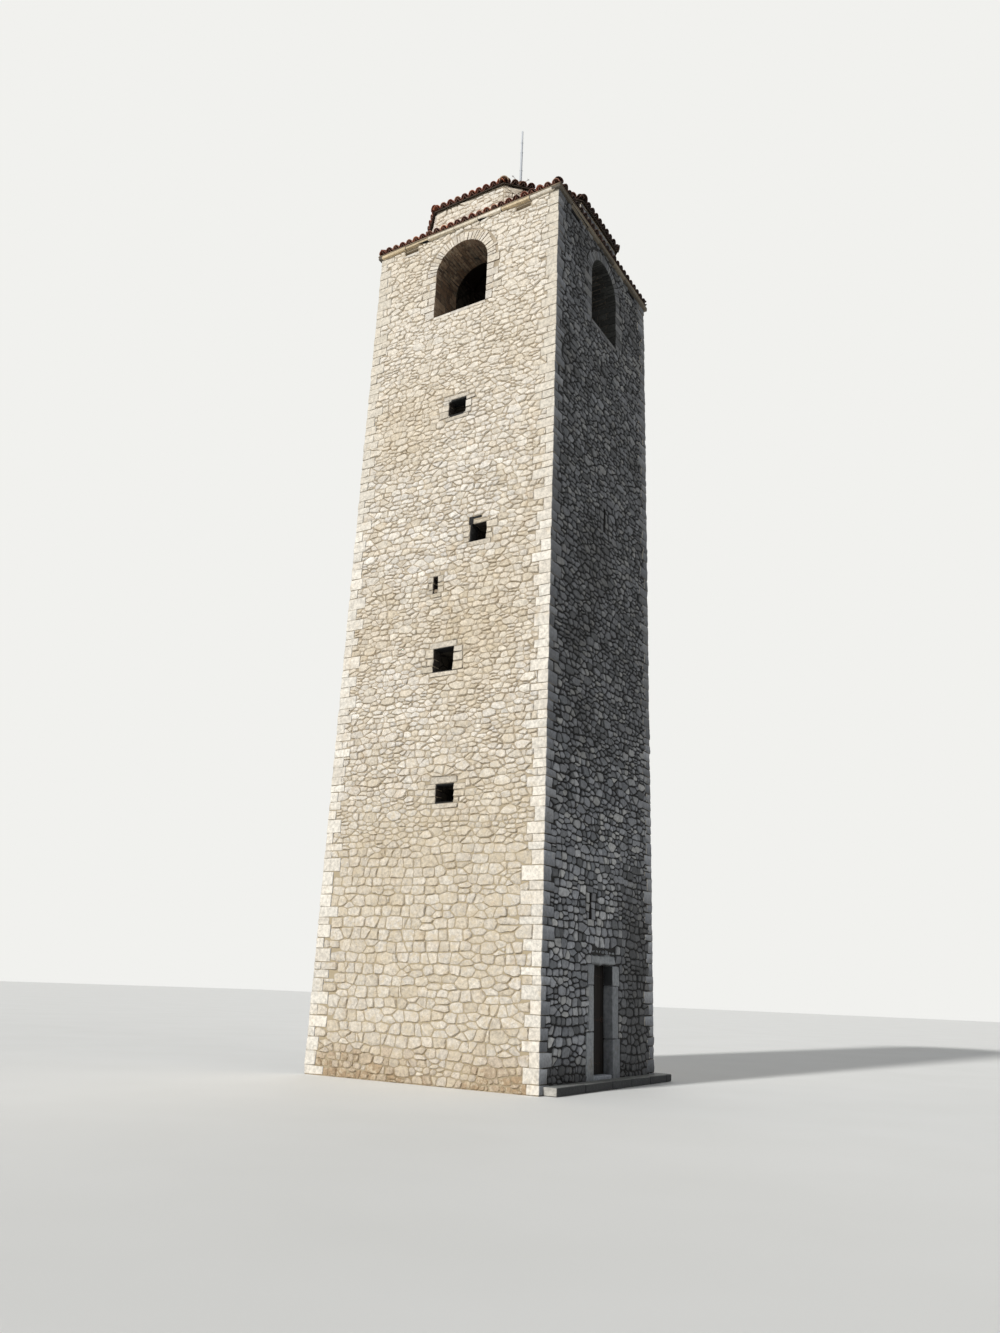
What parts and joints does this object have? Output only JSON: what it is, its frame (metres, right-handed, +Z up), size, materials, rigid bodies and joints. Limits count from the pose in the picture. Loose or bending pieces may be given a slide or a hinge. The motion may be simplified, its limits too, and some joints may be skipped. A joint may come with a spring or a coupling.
{
  "type": "clock tower",
  "caption": "Tall square tower of pale rubble limestone with arched belfry openings, a low octagonal drum under a tiled roof, a thin mast and a plank door in a deep stone doorway.",
  "frame": {"origin": "middle of the tower on the ground, at the foot of its walls", "axes": "+Z up; -Y is the front with the door; -X is the face with the four small windows"},
  "size_m": [5.2425, 5.375, 23.65],
  "materials": {
    "rubble": "matte",
    "dressed_stone": "matte",
    "arch_stone": "matte",
    "step_stone": "matte",
    "cornice_stone": "matte",
    "floor_stone": "matte",
    "roof_tile": "matte",
    "floor_timber": "matte",
    "roof_timber": "matte",
    "door_wood": "matte",
    "door_iron": "matte",
    "mast_paint": "satin",
    "mast_iron": "matte"
  },
  "bodies": {
    "tower": {"back_belfry_arch": "arch_stone", "back_belfry_wall": "rubble", "back_wall_lower": "rubble", "back_wall_middle": "rubble", "belfry_floor_boards": "floor_timber", "corner_squinches": "arch_stone", "cornice": "cornice_stone", "door_hinge_pins": "door_iron", "door_inner_lintel": "roof_timber", "door_jamb_left": "dressed_stone", "door_jamb_right": "dressed_stone", "door_lintel": "dressed_stone", "door_threshold": "dressed_stone", "drum_roof_boards": "roof_timber", "drum_roof_tiles": "roof_tile", "drum_walls_slanting": "rubble", "drum_walls_straight": "rubble", "floor_1_boards": "floor_timber", "floor_2_boards": "floor_timber", "floor_3_boards": "floor_timber", "floor_4_boards": "floor_timber", "floor_joists": "floor_timber", "front_belfry_arch": "arch_stone", "front_belfry_wall": "rubble", "front_step": "step_stone", "front_wall_left_of_door": "rubble", "front_wall_middle": "rubble", "front_wall_over_door": "rubble", "front_wall_right_of_door": "rubble", "ground_floor": "floor_stone", "hip_rafters": "roof_timber", "king_post": "roof_timber", "left_belfry_arch": "arch_stone", "left_belfry_wall": "rubble", "left_wall_lower": "rubble", "left_wall_middle": "rubble", "left_wall_upper": "rubble", "lower_roof": "roof_tile", "mast_arms": "mast_iron", "mast_lower": "mast_paint", "mast_upper": "mast_paint", "right_belfry_arch": "arch_stone", "right_belfry_wall": "rubble", "right_wall_lower": "rubble", "right_wall_middle": "rubble", "right_wall_upper": "rubble"},
    "door": {"door_leaf": "door_wood", "door_straps": "door_iron", "door_ring": "door_iron"}
  },
  "joints": [
    {"name": "door_hinge", "type": "hinge", "parent": "tower", "child": "door", "pos_m": [-0.4515, -2.249, 0.165], "axis": [0, 0, 1], "range_deg": [0, 90]}
  ]
}
